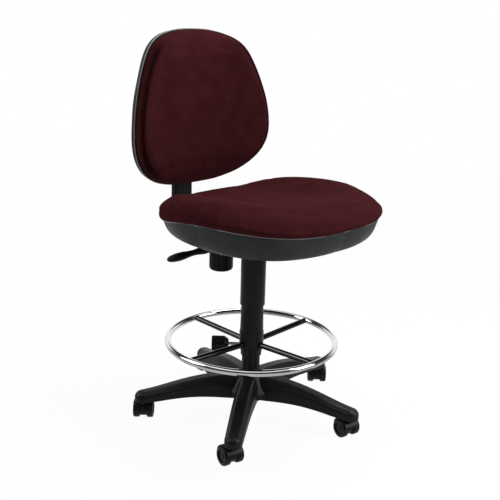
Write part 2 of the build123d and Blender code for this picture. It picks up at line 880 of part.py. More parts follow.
def t_nuts():
    nuts = [Pos(x, y, 0) * t_nut(bolt_diameter + 2 * running_gap) for x, y in mechanism_bolt_places()]
    return nuts + [Pos(x, y, 0) * t_nut(arm_hole_diameter) for x, y in arm_hole_places()]


def mechanism_bolts():
    bolt = post(bolt_diameter / 2, plate_bottom, board_top - bolt_tip_gap)
    head = RegularPolygon(bolt_head_diameter / 2, 6)
    bolt += Pos(0, 0, plate_bottom - bolt_head_height) * extrude(head, bolt_head_height)
    return [Pos(x, y, 0) * bolt for x, y in mechanism_bolt_places()]


def seat_board():
    board = extrude(make_face(seat_oval(board_inset, board_bottom)), board_thickness, dir=(0, 0, 1))
    barrel = bore(nut_barrel_diameter / 2, board_bottom, board_top)
    flange = post(nut_flange_diameter / 2, board_top - nut_flange_height, board_top + cut_overrun)
    pocket = barrel + flange
    return drilled(board, [Pos(x, y, 0) * pocket for x, y in mechanism_bolt_places() + arm_hole_places()])


def seat_cushion():
    """Crowned cushion: its foot in the shell, its sides swelling over the rim, its middle scooped."""
    half_width = seat_half_width + cushion_side_overhang
    front = seat_front + cushion_front_overhang
    rear = seat_rear + cushion_rear_overhang
    sections = [
        oval(half_width - side_in, front - front_in, rear - rear_in, rim_middle_height + height)
        for height, side_in, front_in, rear_in in cushion_stages
    ]
    over_rim = Solid.make_loft(sections) - below_rim(cushion_gap)
    foot = shell_body(shell_wall + cushion_gap, shell_wall) & below_rim(cushion_gap)
    foot -= block((-seat_half_width, seat_half_width), (-2 * seat_front, 2 * seat_rear), (0, board_top))
    trough_radius = (trough_half_width ** 2 + trough_depth ** 2) / (2 * trough_depth)
    trough_bottom = cushion_crown_height - trough_depth
    trough = Pos(0, 0, trough_radius) * Rot(90, 0, 0) * Cylinder(trough_radius, 4 * seat_rear)
    return over_rim + foot - Pos(0, seat_centre_y, trough_bottom) * Rot(-trough_tilt, 0, 0) * trough


# Backrest

def back_levels():
    """Height and half-width of each level of the back's outline, bottom to top."""
    return [(back_bottom + back_height * share, back_half_width * width) for share, width in back_outline]


def back_form(inset, rear_y, depth, edge):
    """Bowed solid of even depth that follows the back's outline, drawn in by an inset."""
    middle = back_bottom + back_height / 2
    squeeze = 1 - 2 * inset / back_height
    sections = [
        curved_slice(half_width - inset, rear_y, depth, depth, edge, middle + (height - middle) * squeeze)
        for height, half_width in back_levels()
    ]
    return Solid.make_loft(sections)


def back_bolt_places():
    bottom = carriage_bottom + back_bolt_inset
    top = carriage_top - back_bolt_inset
    return [(x, z) for x in (-back_bolt_x, back_bolt_x) for z in (bottom, top)]


def along_y(x, z, radius, front, rear):
    """Round bar along Y."""
    return Pos(x, 0, z) * Rot(-90, 0, 0) * post(radius, front, rear)


def back_bolts():
    bolts = []
    head = extrude(RegularPolygon(bolt_head_diameter / 2, 6), bolt_head_height)
    for x, z in back_bolt_places():
        tip = back_board_front - wrap(x) + bolt_tip_gap
        shank = along_y(x, z, back_bolt_diameter / 2, tip, carriage_front)
        bolts.append(shank + Pos(x, carriage_front, z) * Rot(-90, 0, 0) * head)
    return bolts


def back_bolt_holes():
    radius = back_bolt_diameter / 2 + running_gap
    return [
        along_y(x, z, radius, back_board_front - wrap(x), carriage_front + cut_overrun)
        for x, z in back_bolt_places()
    ]


def back_shell():
    outside = back_form(0, back_shell_rear_y, back_shell_depth, back_shell_edge)
    dish = back_form(back_shell_wall, back_dish_rear, 2 * back_shell_depth, back_shell_edge)
    return drilled(outside - dish, back_bolt_holes())


def back_board():
    inset = back_shell_wall + back_shell_edge + back_board_gap
    board = back_form(inset, back_board_rear, back_board_thickness, back_shell_edge / 2)
    return drilled(board, back_bolt_holes())


def back_cushion():
    """Curved pad with rounded edges that thins towards its top and bottom ends."""
    rear_y = back_shell_rear_y - back_shell_depth - back_cushion_gap
    middle = back_bottom + back_height / 2
    squeeze = 1 - 2 * back_cushion_inset / back_height
    sections = []
    for (height, half_width), (share, _) in zip(back_levels(), back_outline):
        end = min(1.0, min(share, 1 - share) / back_cushion_end_reach)
        full = back_cushion_end_share + (1 - back_cushion_end_share) * math.sin(end * math.pi / 2)
        sections.append(curved_slice(
            half_width - back_cushion_inset, rear_y, back_cushion_thickness * full,
            back_cushion_wing_thickness * full, back_cushion_edge * full,
            middle + (height - middle) * squeeze))
    return Solid.make_loft(sections)


def back_carriage():
    half = carriage_width / 2
    heights = (carriage_bottom, carriage_top)
    box = block((-half, half), (carriage_front - carriage_wall, carriage_rear), heights)
    flange_half = carriage_flange_width / 2
    flange_front = back_shell_rear_y - 2 * wrap(flange_half)
    flange = block((-flange_half, flange_half), (flange_front, carriage_front), heights)
    slot = rounded_bar(
        cover_width + 2 * slide_gap, cover_thickness + 2 * slide_gap,
        carriage_bottom - cut_overrun, carriage_top + cut_overrun, cover_corner + slide_gap)
    carriage = box + flange - Pos(0, bar_upright_y, 0) * slot
    carriage -= back_form(0, back_shell_rear_y, 2 * back_shell_depth, back_shell_edge)
    carriage -= block((-half, half), (0, back_shell_rear_y - 2 * back_shell_depth), heights)
    screw_radius = height_screw_diameter / 2 + running_gap
    screw_hole = along_y(0, height_knob_z, screw_radius, cover_rear, carriage_rear + cut_overrun)
    return drilled(carriage, back_bolt_holes() + [screw_hole])


def height_screw():
    end = carriage_rear + height_knob_standoff + screw_bite
    return along_y(0, height_knob_z, height_screw_diameter / 2, cover_rear + rest_gap, end)


def height_knob():
    start = carriage_rear + height_knob_standoff
    end = start + height_knob_length
    radius = height_knob_diameter / 2
    knob = post(radius, start, end)
    knob = fillet(knob.edges().group_by(Axis.Z)[-1], height_knob_round)
    cuts = flutes(
        height_knob_flutes, radius, height_knob_flute_radius, height_knob_flute_bite,
        start - cut_overrun, end + cut_overrun)
    return Pos(0, 0, height_knob_z) * Rot(-90, 0, 0) * drilled(knob, cuts) - height_screw()


# Assembly

os.makedirs("parts", exist_ok=True)

for index, trail_angle in enumerate(caster_trail_angles):
    stem_place = Rot(0, 0, arm_angle(index)) * Pos(stem_circle_radius, 0, 0)
    caster_place = Pos(stem_place.position) * Rot(0, 0, trail_angle)
    for piece, solid in caster_pieces().items():
        export(f"caster_{index + 1}_{piece}", caster_place * solid)

export("base_star", base_star(hub_clearance()))
export("gas_outer_tube", stand_tube())
export("tube_guide_bush", guide_bush())
export("lower_sleeve", lower_sleeve())
export("piston_rod", piston_rod())
export("thrust_bearing", thrust_bearing())
export("gas_cylinder", gas_cylinder())
export("release_button", release_button())
export("upper_sleeve", upper_sleeve())

torus = ring_torus()
spokes = ring_spokes(torus)
export("ring_tube", torus)
export("ring_spokes", group(spokes))
export("ring_hub", ring_hub(spokes))
export("ring_bushes", group(ring_bushes()))
export("ring_screw", on_ring_knob() * ring_screw())
export("ring_knob", on_ring_knob() * ring_knob())

pin = lever_pin()
rod = lever_rod()
export("lever_pin", pin)
export("lever_rod", rod)
export("lever_paddle", lever_paddle(rod))
export("mechanism_housing", mechanism_housing(pin))
export("depth_knob", depth_knob())
export("depth_screw", depth_screw())
export("upright_bar", upright_bar())
export("bar_cover", bar_cover())

export("seat_shell", seat_shell())
export("seat_board", seat_board())
export("t_nuts", group(t_nuts()))
export("mechanism_bolts", group(mechanism_bolts()))
export("seat_cushion", seat_cushion())

export("back_shell", back_shell())
export("back_board", back_board())
export("back_cushion", back_cushion())
export("back_bolts", group(back_bolts()))
export("back_carriage", back_carriage())
export("height_screw", height_screw())
export("height_knob", height_knob())
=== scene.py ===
import json
import math

import bpy
import numpy as np
from mathutils import Euler, Matrix, Vector


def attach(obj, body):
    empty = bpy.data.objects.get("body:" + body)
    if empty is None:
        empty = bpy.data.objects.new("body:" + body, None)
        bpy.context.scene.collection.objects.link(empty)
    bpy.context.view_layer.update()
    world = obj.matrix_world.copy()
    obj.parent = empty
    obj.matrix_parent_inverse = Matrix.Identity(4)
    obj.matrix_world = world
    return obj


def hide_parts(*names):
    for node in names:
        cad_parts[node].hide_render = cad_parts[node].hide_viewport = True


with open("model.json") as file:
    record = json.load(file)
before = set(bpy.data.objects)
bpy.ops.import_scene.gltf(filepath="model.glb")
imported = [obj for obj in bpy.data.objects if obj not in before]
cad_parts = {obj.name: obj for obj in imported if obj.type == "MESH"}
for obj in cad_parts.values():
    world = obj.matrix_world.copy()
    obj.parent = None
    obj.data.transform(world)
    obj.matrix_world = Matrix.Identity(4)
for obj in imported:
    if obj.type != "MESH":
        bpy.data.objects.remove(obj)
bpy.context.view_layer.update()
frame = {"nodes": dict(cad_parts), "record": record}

# Metres. The chair faces -Y and the sitter's right hand is towards -X.

# Seat outline and shell, as in the CAD model
SEAT_CENTRE_Y = -0.056
SEAT_HALF_WIDTH = 0.254
SEAT_FRONT = 0.241
SEAT_REAR = 0.252
SEAT_POWER = 2.7
SEAT_FLOOR = 0.507
SHELL_HEIGHTS = (0.0, 0.005, 0.013, 0.027, 0.049, 0.075)
SHELL_INSETS = (0.044, 0.030, 0.020, 0.0115, 0.0045, 0.0)
SHELL_WALL = 0.0035
# Points (y, z) that the shell's top edge passes through
RIM_FRONT = (-0.297, 0.567)
RIM_MIDDLE = (-0.056, 0.574)
RIM_REAR = (0.196, 0.526)
# Thin lip along that edge
SEAT_LIP_INSET = 0.0004
SEAT_LIP_RISE = 0.0004
SEAT_LIP_RADIUS = 0.0019

# Seat cushion
SEAT_BOTTOM = 0.5240
CUSHION_OVERHANG = 0.006
RIM_CLEARANCE = 0.001
WALL_CLEARANCE = 0.002
# Level of the side bolsters at places along the seat
CREST_Y = (-0.32, -0.24, -0.18, -0.12, -0.05, 0.0, 0.04, 0.075, 0.117, 0.15, 0.2)
CREST_Z = (0.616, 0.622, 0.6255, 0.627, 0.6255, 0.622, 0.6185, 0.615, 0.610, 0.605, 0.596)
# Share of the way from rim to crest at which the side stands out furthest
BULGE_Y = (-0.30, -0.15, 0.10)
BULGE_SHARES = (0.24, 0.28, 0.52)
# Dish between the bolsters: it deepens from the front, fades to the rear and ends at the sides
SEAT_DISH = 0.026
DISH_FRONT = (-0.28, -0.06)
DISH_REAR = (0.03, 0.18)
DISH_REAR_FADE = 0.5
DISH_SIDES = (0.07, 0.205)
SEAT_EDGE_POWER = 9
SEAT_EDGE_ROUND = 0.70
SIDE_ROUND = 0.9
SIDE_STEPS = 6
WALL_FALLS = (0.35, 0.7, 1.0)
UNDERSIDE_INSETS = (0.06, 0.12, 0.18)
SEAT_RINGS = 34
SEAT_SIDES = 192
SEAT_VOXEL = 0.005
# The cover is held near the rim, free above it, and swells by no more than this
SEAT_FREE = (0.004, 0.022)
SEAT_SWELL = 0.004

# Back cushion and the lip of its shell
BACK_BOTTOM = 0.598
BACK_HEIGHT = 0.400
BACK_HALF_WIDTH = 0.2295
BACK_WRAP_RADIUS = 0.495
BACK_REAR_Y = 0.2522
# Share of the height, and the share of the half width there
BACK_OUTLINE = (
    (0.0, 0.22), (0.02, 0.44), (0.06, 0.64), (0.14, 0.84), (0.24, 0.96), (0.35, 1.0), (0.50, 0.98),
    (0.65, 0.91), (0.80, 0.8), (0.90, 0.68), (0.955, 0.535), (0.985, 0.36), (1.0, 0.16),
)
SPLINE_STEPS = 24
# Thickness at the bottom, and how much less it is at the top
BACK_MIDDLE = 0.043
BACK_MIDDLE_TAPER = 0.004
BACK_SIDE = 0.036
BACK_SIDE_TAPER = 0.015
BACK_ENDS = (0.78, 1.0)
BACK_ENDS_THINNER = 0.30
BACK_RING_CENTRE = 0.48
BACK_EDGE_REACH = 0.075
BACK_EDGE_DEPTH = 0.55
BACK_EDGE_STEPS = 8
BACK_UNDERCUT = ((1.0, 0.30), (0.994, 0.12), (0.985, 0.0))
BACK_REAR_SHARES = (0.95, 0.8, 0.6, 0.4, 0.2, 0.05)
BACK_LIP_OUT = 0.0013
BACK_LIP_BACK = 0.0019
BACK_LIP_RADIUS = 0.0016
BACK_SIDES = 216
BACK_RINGS = 34
BACK_VOXEL = 0.004
BACK_FREE = (0.010, 0.026)
BACK_SWELL = 0.003
# Painted shade, darkening the cloth's colour along the back's upright edges: where it starts and ends up the
# back, across the turn of the edge, and out from the middle
SHADE_STRENGTH = 0.9
SHADE_BOTTOM = (0.05, 0.18)
SHADE_TOP = (0.86, 0.97)
SHADE_TURN_START = (-0.30, 0.15)
SHADE_TURN_END = (0.45, 0.95)
SHADE_WINGS = (0.35, 0.60)

# Rings start a little out from the middle of a cushion's face, and a fan closes the rest
RING_START = 0.03
BEAD_ROUNDNESS = 4
CLOTH_PRESSURE = 4.0
CLOTH_FRAMES = 20
LEAST_MOVE = 1e-9

# Darkest and lightest tone of the cloth
BURGUNDY = ((0.0325, 0.0058, 0.0074), (0.0480, 0.0098, 0.0118))
# Tone of the painted shade along the back's edges, as a share of the cloth's darkest tone
PAINTED_SHADE_TONE = 0.2
SHEEN_TINT = (0.9, 0.30, 0.33, 1)
# Darkest and lightest tone, lowest and highest roughness
PLASTICS = {
    "shell_charcoal": ((0.0215, 0.0220, 0.0225), (0.0305, 0.0310, 0.0315), 0.42, 0.55),
    "nylon_black": ((0.0065, 0.0065, 0.0068), (0.0095, 0.0095, 0.0099), 0.34, 0.46),
    "wheel_black": ((0.0060, 0.0060, 0.0065), (0.0090, 0.0090, 0.0096), 0.30, 0.42),
    "knob_black": ((0.0035, 0.0035, 0.0037), (0.0055, 0.0055, 0.0058), 0.32, 0.44),
    "cover_black": ((0.0030, 0.0030, 0.0032), (0.0045, 0.0045, 0.0048), 0.40, 0.54),
    "bush_plastic": ((0.66, 0.65, 0.61), (0.76, 0.75, 0.71), 0.40, 0.50),
    # Pale grey of the rim beads: a painted highlight along the shells' edges
    "painted_highlight_grey": ((0.17, 0.17, 0.17), (0.24, 0.24, 0.24), 0.30, 0.42),
}
BLACK_PAINT = ((0.0030, 0.0030, 0.0032), (0.0046, 0.0046, 0.0049), 0.26, 0.36)
METALS = {
    "bright_steel": ((0.50, 0.50, 0.51), (0.62, 0.62, 0.63), 0.22, 0.34),
    "chrome": ((0.78, 0.78, 0.79), (0.86, 0.86, 0.87), 0.03, 0.07),
    "dark_chrome": ((0.040, 0.040, 0.042), (0.060, 0.060, 0.063), 0.05, 0.10),
}
PLYWOOD = ((0.50, 0.35, 0.20), (0.68, 0.52, 0.33))
# Most of a noise texture's values lie between these
NOISE_LOW = 0.3
NOISE_HIGH = 0.7

# Camera. The focal share is the focal length over the picture's width.
CAMERA_PLACE = (-1.554, -1.486, 1.0682)
CAMERA_TURN = math.radians(-46.0)
CAMERA_PITCH = 0.2767
CAMERA_ROLL = 0.0295
CAMERA_FOCAL_SHARE = 868.7 / 500
SENSOR_WIDTH = 36.0

# Tones of the room that shiny things mirror
WHITE = (1, 1, 1)
DIM = (0.035, 0.035, 0.035)
FLOOR_GREY = (0.50, 0.50, 0.50)
# Level directions from the camera to the backdrop and across it
AWAY = (-math.sin(CAMERA_TURN), math.cos(CAMERA_TURN), 0)
ASIDE = (math.cos(CAMERA_TURN), math.sin(CAMERA_TURN), 0)
# Edges of the mirrored backdrop and ceiling, as parts of a unit direction
BACKDROP_AHEAD = (0.0, 0.1)
BACKDROP_ASIDE = (0.72, 0.85)
BACKDROP_TOP = (0.36, 0.50)
CEILING_EDGE = (0.70, 0.80)
WORLD_LIGHT = 0.15
FLOOR_REACH = 40.0
# Edges of the white paper on the mirrored floor
PAPER_AHEAD = (0.3, 0.6)
PAPER_ASIDE = (0.9, 1.0)
# The floor's own white grows to full over these distances, so the shadow stays near the object
SHADOW_FADE = (1.2, 4.0)
FLOOR_WHITE_NEAR = 0.955
# Name, place, target, width and height, and power in watts
LAMPS = (
    ("right_lamp", (1.30, -2.40, 1.8), (0, 0, 0.55), (1.4, 1.8), 56),
    ("left_lamp", (-1.95, 1.85, 1.85), (0, 0, 0.55), (1.4, 1.8), 36),
    ("top_lamp", (0.60, -0.25, 2.5), (0, -0.1, 0.6), (1.0, 1.0), 42),
)


# Mesh helpers

def smoothstep(low, high, value):
    share = np.clip((value - low) / (high - low), 0.0, 1.0)
    return share * share * (3 - 2 * share)


def new_object(name, data):
    piece = bpy.data.objects.new(name, data)
    bpy.context.scene.collection.objects.link(piece)
    return piece


def ring_mesh(name, rings):
    """Closed skin over a stack of rings, each an array of points, capped with a fan at both ends."""
    sides = len(rings[0])
    points = [tuple(point) for ring in rings for point in ring]
    faces = []
    for level in range(len(rings) - 1):
        low = level * sides
        high = low + sides
        for index in range(sides):
            following = (index + 1) % sides
            faces.append((low + index, low + following, high + following, high + index))
    for level, flip in ((0, True), (len(rings) - 1, False)):
        centre = len(points)
        points.append(tuple(np.mean(rings[level], axis=0)))
        start = level * sides
        for index in range(sides):
            face = (start + index, start + (index + 1) % sides, centre)
            faces.append(face[::-1] if flip else face)
    mesh = bpy.data.meshes.new(name)
    mesh.from_pydata(points, [], faces)
    mesh.update()
    return new_object(name, mesh)


def closed_bead(name, points, radius):
    """Round bead along a closed line of points, turned into a mesh."""
    curve = bpy.data.curves.new(name, "CURVE")
    curve.dimensions = "3D"
    curve.bevel_depth = radius
    curve.bevel_resolution = BEAD_ROUNDNESS
    spline = curve.splines.new("POLY")
    spline.points.add(len(points) - 1)
    for target, point in zip(spline.points, points):
        target.co = (*point, 1.0)
    spline.use_cyclic_u = True
    holder = new_object(name, curve)
    mesh = bpy.data.meshes.new_from_object(holder)
    bpy.data.objects.remove(holder)
    piece = new_object(name, mesh)
    shade_smooth(piece)
    return piece


def shade_smooth(piece):
    piece.data.polygons.foreach_set("use_smooth", [True] * len(piece.data.polygons))
    piece.data.update()


def only_active(piece):
    for other in bpy.context.selected_objects:
        other.select_set(False)
    piece.select_set(True)
    bpy.context.view_layer.objects.active = piece


def vertex_values(mesh, name):
    """One vector for each vertex: "co" for its place, "normal" for its direction."""
    flat = np.zeros(len(mesh.vertices) * 3)
    mesh.vertices.foreach_get(name, flat)
    return flat.reshape(-1, 3)


def set_coordinates(mesh, points):
    mesh.vertices.foreach_set("co", points.astype(np.float32).ravel())
    mesh.update()


def set_shade(mesh, values):
    layer = mesh.attributes.new("shade", "FLOAT", "POINT")
    layer.data.foreach_set("value", values.astype(np.float32))


def remesh(piece, size):
    piece.data.remesh_voxel_size = size
    only_active(piece)
    bpy.ops.object.voxel_remesh()


def inflate(piece, free, cap):
    """Swells a cushion as cloth under pressure. free is 1 where the cover may move and 0 where it is held."""
    start = vertex_values(piece.data, "co")
    held = piece.vertex_groups.new(name="held")
    for index, share in enumerate(free):
        held.add([index], float(1 - share), "REPLACE")
    cloth = piece.modifiers.new("cloth", "CLOTH")
    settings = cloth.settings
    settings.quality = 4
    settings.mass = 0.25
    settings.tension_stiffness = 12
    settings.compression_stiffness = 12
    settings.shear_stiffness = 5
    settings.bending_stiffness = 2.0
    settings.vertex_group_mass = "held"
    settings.use_pressure = True
    settings.uniform_pressure_force = CLOTH_PRESSURE
    settings.effector_weights.gravity = 0
    cloth.collision_settings.use_collision = False
    scene = bpy.context.scene
    for number in range(1, CLOTH_FRAMES + 1):
        scene.frame_set(number)
    ready = piece.evaluated_get(bpy.context.evaluated_depsgraph_get())
    moved = vertex_values(ready.data, "co") - start
    piece.modifiers.remove(cloth)
    scene.frame_set(1)
    length = np.linalg.norm(moved, axis=1, keepdims=True)
    moved *= np.minimum(1.0, cap / np.maximum(length, LEAST_MOVE))
    set_coordinates(piece.data, start + moved)
    piece.vertex_groups.clear()


def subdivide(piece):
    modifier = piece.modifiers.new("subdivision", "SUBSURF")
    modifier.levels = 1
    modifier.render_levels = 1


# Seat cushion

def seat_oval(inset):
    """Seat outline drawn in by an inset, one value or one for each point, as x and y arrays."""
    angle = np.linspace(0, 2 * math.pi, SEAT_SIDES, endpoint=False)
    cosine, sine = np.cos(angle), np.sin(angle)
    share_x = np.sign(cosine) * np.abs(cosine) ** (2 / SEAT_POWER)
    share_y = np.sign(sine) * np.abs(sine) ** (2 / SEAT_POWER)
    reach = np.where(share_y > 0, SEAT_REAR, SEAT_FRONT)
    return (SEAT_HALF_WIDTH - inset) * share_x, SEAT_CENTRE_Y + (reach - inset) * share_y


def parabola(first, second, third, value):
    """Value on the parabola through three points."""
    total = 0
    points = (first, second, third)
    for here in points:
        term = here[1]
        for other in points:
            if other is not here:
                term = term * (value - other[0]) / (here[0] - other[0])
        total = total + term
    return total


def rim_height(y):
    return parabola(RIM_FRONT, RIM_MIDDLE, RIM_REAR, y)


def shell_inset(height):
    """How far the shell's wall is drawn in at a height above the room's floor."""
    return np.interp(height - SEAT_FLOOR, SHELL_HEIGHTS, SHELL_INSETS)


def crest_height(y):
    """Level of the side bolsters along the seat: high in front, falling to the rear."""
    return np.interp(y, CREST_Y, CREST_Z)


def bulge_height(y):
    """Level at which the cushion's side stands out furthest: near the rim in front, higher at the rear."""
    rim = rim_height(y)
    return rim + (crest_height(y) - rim) * np.interp(y, BULGE_Y, BULGE_SHARES)


def seat_top(x, y, share):
    """Height of the cushion's top at a share of the way out to its edge."""
    bulge = bulge_height(y)
    lengthwise = smoothstep(*DISH_FRONT, y) * (1 - DISH_REAR_FADE * smoothstep(*DISH_REAR, y))
    across = 1 - smoothstep(*DISH_SIDES, np.abs(x))
    level = crest_height(y) - SEAT_DISH * across * lengthwise
    edge = (1 - share ** SEAT_EDGE_POWER) ** SEAT_EDGE_ROUND
    return bulge + (level - bulge) * edge


def seat_rings():
    """Rings of the seat cushion from its underside up to the middle of its top."""
    rings = []
    edge_x, edge_y = seat_oval(-CUSHION_OVERHANG)
    for share in np.sin(np.linspace(RING_START, 1.0, SEAT_RINGS) * math.pi / 2):
        x = edge_x * share
        y = SEAT_CENTRE_Y + (edge_y - SEAT_CENTRE_Y) * share
        rings.append(np.stack([x, y, seat_top(x, y, share)], axis=1))
    nominal_y = seat_oval(0.0)[1]
    rim = rim_height(nominal_y)
    rim_inset = shell_inset(rim) + RIM_CLEARANCE
    bulge = bulge_height(nominal_y)
    for turn in np.linspace(0, math.pi / 2, SIDE_STEPS + 1)[1:]:
        inset = rim_inset - (rim_inset + CUSHION_OVERHANG) * math.cos(turn) ** SIDE_ROUND
        x, y = seat_oval(inset)
        rings.append(np.stack([x, y, rim + (bulge - rim) * (1 - math.sin(turn))], axis=1))
    for fall in WALL_FALLS:
        height = rim + (SEAT_BOTTOM - rim) * fall
        x, y = seat_oval(shell_inset(height) + SHELL_WALL + WALL_CLEARANCE)
        rings.append(np.stack([x, y, height], axis=1))
    for inset in UNDERSIDE_INSETS:
        x, y = seat_oval(inset)
        rings.append(np.stack([x, y, np.full_like(x, SEAT_BOTTOM)], axis=1))
    return rings[::-1]


def make_seat_rim_bead():
    """Thin rolled lip along the top edge of the seat shell."""
    rim = rim_height(seat_oval(0.0)[1])
    x, y = seat_oval(shell_inset(rim) + SEAT_LIP_INSET)
    points = np.stack([x, y, rim + SEAT_LIP_RISE], axis=1)
    return closed_bead("seat_rim_bead", points, SEAT_LIP_RADIUS)


def make_seat_cushion():
    cushion = ring_mesh("seat_cushion_cover", seat_rings())
    remesh(cushion, SEAT_VOXEL)
    points = vertex_values(cushion.data, "co")
    above = points[:, 2] - rim_height(points[:, 1])
    inflate(cushion, smoothstep(*SEAT_FREE, above), SEAT_SWELL)
    shade_smooth(cushion)
    subdivide(cushion)
    return cushion


# Back cushion

def wrap(x):
    """How far the curved back comes forward at a distance from its middle."""
    return BACK_WRAP_RADIUS - np.sqrt(BACK_WRAP_RADIUS ** 2 - x ** 2)


def closed_spline(points, count):
    """Even points along the closed Catmull-Rom curve through a list of points."""
    points = np.array(points)
    fine = []
    for index in range(len(points)):
        before, here, after, beyond = (points[(index + step) % len(points)] for step in (-1, 0, 1, 2))
        for share in np.linspace(0, 1, SPLINE_STEPS, endpoint=False):
            fine.append(0.5 * (
                2 * here + (after - before) * share
                + (2 * before - 5 * here + 4 * after - beyond) * share ** 2
                + (3 * here - before - 3 * after + beyond) * share ** 3))
    fine = np.array(fine)
    steps = np.linalg.norm(np.roll(fine, -1, axis=0) - fine, axis=1)
    travelled = np.concatenate([[0], np.cumsum(steps)])
    wanted = np.linspace(0, travelled[-1], count, endpoint=False)
    looped = np.vstack([fine, fine[:1]])
    return np.stack([np.interp(wanted, travelled, looped[:, axis]) for axis in (0, 1)], axis=1)


def back_outline():
    """Outline of the back in x and z, anticlockwise seen from the front."""
    right = [(BACK_HALF_WIDTH * width, BACK_BOTTOM + BACK_HEIGHT * share) for share, width in BACK_OUTLINE]
    left = [(-x, z) for x, z in right[::-1]]
    return closed_spline(right + left, BACK_SIDES)


def back_front(x, z):
    """How far the cover stands in front of the rear face, without its rounded edge."""
    sideways = np.abs(x) / BACK_HALF_WIDTH
    upright = (z - BACK_BOTTOM) / BACK_HEIGHT
    ends = 1 - BACK_ENDS_THINNER * smoothstep(*BACK_ENDS, np.abs(2 * upright - 1))
    middle = BACK_MIDDLE - BACK_MIDDLE_TAPER * upright
    side = BACK_SIDE - BACK_SIDE_TAPER * upright
    return (middle - (middle - side) * sideways ** 2) * ends


def back_rings():
    """Rings of the back cushion from the middle of its face, over its edge, to the middle of its rear."""
    outline = back_outline()
    centre = np.array([0.0, BACK_BOTTOM + BACK_HEIGHT * BACK_RING_CENTRE])
    front = [(share, 1.0) for share in np.linspace(RING_START, 1 - BACK_EDGE_REACH, BACK_RINGS)]
    corner = [
        (1 - BACK_EDGE_REACH * (1 - math.sin(turn)), 1 - BACK_EDGE_DEPTH * (1 - math.cos(turn)))
        for turn in np.linspace(0, math.pi / 2, BACK_EDGE_STEPS + 1)[1:]
    ]
    rear = [(share, 0.0) for share in BACK_REAR_SHARES]
    rings = []
    for share, depth in front + corner + list(BACK_UNDERCUT) + rear:
        flat = centre + (outline - centre) * share
        x, z = flat[:, 0], flat[:, 1]
        rings.append(np.stack([x, BACK_REAR_Y - wrap(x) - back_front(x, z) * depth, z], axis=1))
    return rings


def back_shade(mesh):
    """Painted shade along the two upright edges: darkens the cloth's colour where the face turns over to the
    side.
    """
    points = vertex_values(mesh, "co")
    outwards = vertex_values(mesh, "normal")[:, 0] * np.sign(points[:, 0])
    upright = (points[:, 2] - BACK_BOTTOM) / BACK_HEIGHT
    lengthwise = smoothstep(*SHADE_BOTTOM, upright) * (1 - smoothstep(*SHADE_TOP, upright))
    turning = smoothstep(*SHADE_TURN_START, outwards) * (1 - smoothstep(*SHADE_TURN_END, outwards))
    wings = smoothstep(*SHADE_WINGS, np.abs(points[:, 0]) / BACK_HALF_WIDTH)
    return SHADE_STRENGTH * lengthwise * turning * wings


def make_back_rim_bead():
    """Thin rolled lip along the front edge of the back shell."""
    outline = back_outline()
    centre = np.array([0.0, BACK_BOTTOM + BACK_HEIGHT * 0.5])
    grown = centre + (outline - centre) * (1 + BACK_LIP_OUT / BACK_HALF_WIDTH)
    x, z = grown[:, 0], grown[:, 1]
    points = np.stack([x, BACK_REAR_Y + BACK_LIP_BACK - wrap(x), z], axis=1)
    return closed_bead("back_rim_bead", points, BACK_LIP_RADIUS)


def make_back_cushion():
    cushion = ring_mesh("back_cushion_cover", back_rings())
    remesh(cushion, BACK_VOXEL)
    # Painted shade: a mask that darkens the cloth's colour along the back's upright edges
    set_shade(cushion.data, back_shade(cushion.data))
    points = vertex_values(cushion.data, "co")
    proud = BACK_REAR_Y - wrap(points[:, 0]) - points[:, 1]
    inflate(cushion, smoothstep(*BACK_FREE, proud), BACK_SWELL)
    shade_smooth(cushion)
    subdivide(cushion)
    return cushion


# Shader nodes

def add_node(tree, kind, **values):
    """New shader node. A value goes to the socket of that name, or else to the node's own setting."""
    node = tree.nodes.new("ShaderNode" + kind)
    for name, value in values.items():
        socket = node.inputs.get(name.replace("_", " "))
        if socket is None:
            setattr(node, name, value)
        else:
            socket.default_value = value
    return node


def place_node(tree):
    return add_node(tree, "TexCoord").outputs["Object"]


def noise(tree, scale, detail):
    node = add_node(tree, "TexNoise", Scale=scale, Detail=detail, Roughness=0.55)
    tree.links.new(place_node(tree), node.inputs["Vector"])
    return node.outputs["Fac"]


def bands(tree, direction, scale, distortion=0.0):
    node = add_node(tree, "TexWave", Scale=scale, Distortion=distortion, bands_direction=direction)
    tree.links.new(place_node(tree), node.inputs["Vector"])
    return node.outputs["Fac"]


def ramp(tree, source, start, end, low=NOISE_LOW, high=NOISE_HIGH):
    """Colour that goes from start to end as the source goes from low to high."""
    node = add_node(tree, "ValToRGB")
    node.color_ramp.elements[0].position = low
    node.color_ramp.elements[0].color = (*start, 1)
    node.color_ramp.elements[1].position = high
    node.color_ramp.elements[1].color = (*end, 1)
    tree.links.new(source, node.inputs["Fac"])
    return node.outputs["Color"]


def spread(tree, source, low, high):
    """Number that goes from low to high over a noise texture's values."""
    node = add_node(tree, "MapRange", From_Min=NOISE_LOW, From_Max=NOISE_HIGH, To_Min=low, To_Max=high)
    tree.links.new(source, node.inputs["Value"])
    return node.outputs["Result"]


def bump(tree, height, distance, strength):
    node = add_node(tree, "Bump", Distance=distance, Strength=strength)
    tree.links.new(height, node.inputs["Height"])
    return node.outputs["Normal"]


def combine(tree, operation, first, second):
    node = add_node(tree, "Math", operation=operation)
    tree.links.new(first, node.inputs[0])
    tree.links.new(second, node.inputs[1])
    return node.outputs["Value"]


def mixed(tree, blend, first, second):
    node = add_node(tree, "Mix", data_type="RGBA", blend_type=blend)
    node.inputs["Factor"].default_value = 1.0
    tree.links.new(first, node.inputs["A"])
    tree.links.new(second, node.inputs["B"])
    return node.outputs["Result"]


def mix_shaders(tree, share, first, second):
    node = add_node(tree, "MixShader")
    tree.links.new(share, node.inputs["Fac"])
    tree.links.new(first, node.inputs[1])
    tree.links.new(second, node.inputs[2])
    return node.outputs["Shader"]


def along(tree, vector, axis):
    """Part of a vector that lies along an axis."""
    node = add_node(tree, "VectorMath", operation="DOT_PRODUCT")
    node.inputs[1].default_value = axis
    tree.links.new(vector, node.inputs[0])
    return node.outputs["Value"]


